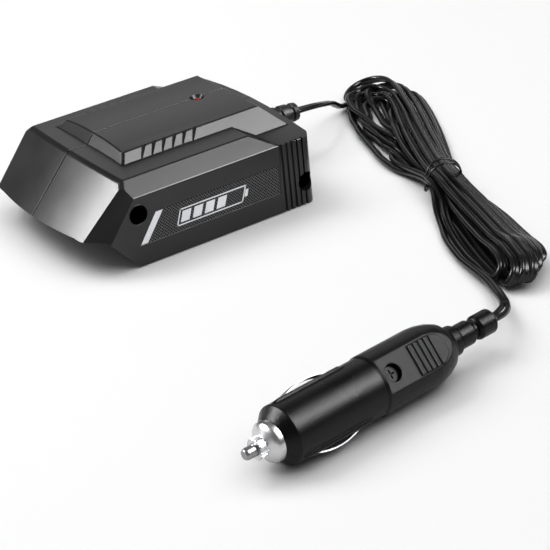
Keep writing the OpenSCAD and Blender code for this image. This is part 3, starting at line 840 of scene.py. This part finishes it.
def make_plug():
    plastic = plug_plastic()
    for name in ("plug_shell_upper", "plug_shell_lower"):
        rounded_copy(name, "charger", plastic, even_softness(0.25), shortest=0.3)
    soft = moulded("gland_grey", (0.008, 0.008, 0.0085), 0.4, 3000.0, 0.00003, specular=0.4)
    rounded_copy("cord_gland", "charger", soft, even_softness(0.25), shortest=0.3)
    rounded_copy("plug_gland", "charger", plastic, even_softness(0.25), shortest=0.3)
    plated = metal("plated_metal", (0.6, 0.6, 0.61), 0.3)
    nose = turned("nose_skin", NOSE_PROFILE, plated, ridges=22)
    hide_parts("plug_nose_ring")
    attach(nose, "nose_ring")
    pin = turned("tip_skin", PIN_PROFILE, metal("worn_steel", (0.3, 0.3, 0.31), 0.34))
    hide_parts("plug_tip_contact")
    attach(pin, "tip_contact")
    paint(metal("spring_metal", (0.22, 0.22, 0.225), 0.45), "side_contact_left", "side_contact_right")
    paint(moulded("black_steel", (0.006, 0.006, 0.006), 0.4, 1500.0, 0.00002, specular=0.12),
          "plug_screw")
    for side in (-1, 1):
        for hand in (-1, 1):
            make_rail(side, hand, plastic)


# ---------------------------------------------------------------- inside

def banded(name, first, second, rough, metallic, low, high, direction):
    """Two tones of one part, told apart by the height above the board or the place along it."""
    mat, tree, shader = new_material(name)
    place = tree.nodes.new("ShaderNodeTexCoord").outputs["Object"]
    axes = tree.nodes.new("ShaderNodeSeparateXYZ")
    tree.links.new(place, axes.inputs["Vector"])
    share = remap(tree, axes.outputs[direction], 0, 1, low * MM, high * MM)
    speck = noise(tree, 1800.0, 2.0)
    lower = mix_colors(tree, speck.outputs["Fac"], first, tuple(c * 1.5 for c in first))
    upper = mix_colors(tree, speck.outputs["Fac"], second, tuple(c * 1.2 for c in second))
    tree.links.new(mix_colors(tree, share, lower, upper), shader.inputs["Base Color"])
    tree.links.new(remap(tree, share, 0, metallic, 0, 1), shader.inputs["Metallic"])
    tree.links.new(remap(tree, speck.outputs["Fac"], rough * 0.8, rough * 1.2),
                   shader.inputs["Roughness"])
    tree.links.new(bump(tree, speck.outputs["Fac"], 0.00002), shader.inputs["Normal"])
    return mat


def copper_windings():
    """Enamelled wire round the inductor's core, turn beside turn."""
    mat, tree, shader = new_material("copper_windings")
    place = tree.nodes.new("ShaderNodeTexCoord").outputs["Object"]
    wave = node(tree, "ShaderNodeTexWave", Scale=280.0, Distortion=0.4)
    wave.wave_type = "BANDS"
    wave.bands_direction = "DIAGONAL"
    tree.links.new(place, wave.inputs["Vector"])
    tint = mix_colors(tree, wave.outputs["Fac"], (0.1, 0.03, 0.012), (0.42, 0.15, 0.06))
    tree.links.new(tint, shader.inputs["Base Color"])
    tree.links.new(remap(tree, wave.outputs["Fac"], 0.5, 0.28, 0, 1), shader.inputs["Roughness"])
    tree.links.new(bump(tree, wave.outputs["Fac"], 0.0003), shader.inputs["Normal"])
    shader.inputs["Metallic"].default_value = 0.6
    return mat


def make_inside():
    """Materials for the parts that only show through the openings and in other poses."""
    board_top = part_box("circuit_board")[1][2] / MM
    paint(moulded("circuit_board", (0.012, 0.07, 0.028), 0.35, 900.0, 0.00003), "circuit_board")
    paint(copper_windings(), "power_inductor")
    paint(banded("capacitor", (0.01, 0.02, 0.06), (0.6, 0.6, 0.62), 0.3, 1.0,
                 board_top + 10.95, board_top + 11.05, "Z"), "filter_capacitors")
    paint(banded("transistor", (0.5, 0.5, 0.52), (0.012, 0.012, 0.013), 0.4, 0.0,
                 board_top + 2.9, board_top + 3.0, "Z"), "switching_transistor")
    paint(metal("heat_sink", (0.42, 0.43, 0.45), 0.38), "heat_sink")
    paint(moulded("chip", (0.012, 0.012, 0.013), 0.45, 2500.0, 0.00002), "control_chip")
    paint(moulded("diode", (0.014, 0.014, 0.015), 0.4, 2200.0, 0.00002), "rectifier_diode")
    paint(moulded("terminal_block", (0.015, 0.015, 0.016), 0.42, 3800.0, 0.00002), "terminal_block")
    paint(metal("brass", (0.62, 0.42, 0.16), 0.3), "terminal_blades", "fuse_terminal")
    paint(moulded("wire_red", (0.3, 0.012, 0.01), 0.35, 2600.0, 0.00002), "supply_wire_positive")
    paint(moulded("wire_black", (0.01, 0.01, 0.011), 0.35, 2600.0, 0.00002),
          "supply_wire_negative", "plug_wires")
    paint(metal("fuse_cap", (0.6, 0.6, 0.62), 0.25), "plug_fuse", "plug_spring")


# ---------------------------------------------------------------- stage and light

def make_floor():
    mesh = bpy.data.meshes.new("floor")
    size = 4.0
    mesh.from_pydata([(-size, -size, 0), (size, -size, 0), (size, size, 0), (-size, size, 0)],
                     [], [(0, 1, 2, 3)])
    floor = link(bpy.data.objects.new("floor", mesh))
    floor.location.z = -0.0003
    mat, tree, shader = new_material("floor_paper")
    cloud = noise(tree, 1.5, 2.0)
    tint = mix_colors(tree, remap(tree, cloud.outputs["Fac"], 0, 1),
                      (0.84, 0.84, 0.84), (0.87, 0.87, 0.87))
    tree.links.new(tint, shader.inputs["Base Color"])
    shader.inputs["Roughness"].default_value = 0.9
    mesh.materials.append(mat)


def softbox(name, direction, distance, width, height, radiance, lights, centre=(40, 0, 20)):
    """An area light that faces the object; it lights either the gloss or the matt colour."""
    data = bpy.data.lights.new(name, "AREA")
    data.shape = "RECTANGLE"
    data.size = width
    data.size_y = height
    data.energy = radiance * math.pi * width * height
    lamp = link(bpy.data.objects.new(name, data))
    away = Vector(direction).normalized()
    lamp.location = mm(*centre) + away * distance
    lamp.rotation_euler = away.to_track_quat("Z", "Y").to_euler()
    lamp.visible_glossy = lights == "glossy"
    lamp.visible_diffuse = lights == "diffuse"


def make_light():
    world = bpy.data.worlds.new("world")
    world.use_nodes = True
    background = world.node_tree.nodes["Background"]
    background.inputs["Color"].default_value = (1, 1, 1, 1)
    background.inputs["Strength"].default_value = 0.14
    bpy.context.scene.world = world
    softbox("high_softbox", (0.55, 0.42, 0.72), 1.1, 0.66, 0.66, 15.5, "glossy")
    softbox("strip_softbox", (0.73, 0.62, 0.68), 1.18, 0.34, 0.12, 40, "glossy")
    softbox("left_softbox", (-0.47, -0.7, 0.52), 1.2, 0.34, 0.4, 58, "glossy")
    softbox("rear_softbox", (-0.72, 0.5, 0.46), 1.3, 0.8, 0.6, 0.8, "glossy")
    softbox("fill_over", (0.1, 0.1, 1), 1.6, 2.4, 2.4, 1.55, "diffuse")
    softbox("fill_left", (-0.5, -0.3, 0.8), 1.5, 0.9, 0.9, 4.4, "diffuse")


# ---------------------------------------------------------------- build

bpy.context.scene.view_settings.view_transform = "Standard"
make_camera()
make_cord()
make_casing()
make_labels()
make_lamp()
make_plug()
make_inside()
make_floor()
make_light()
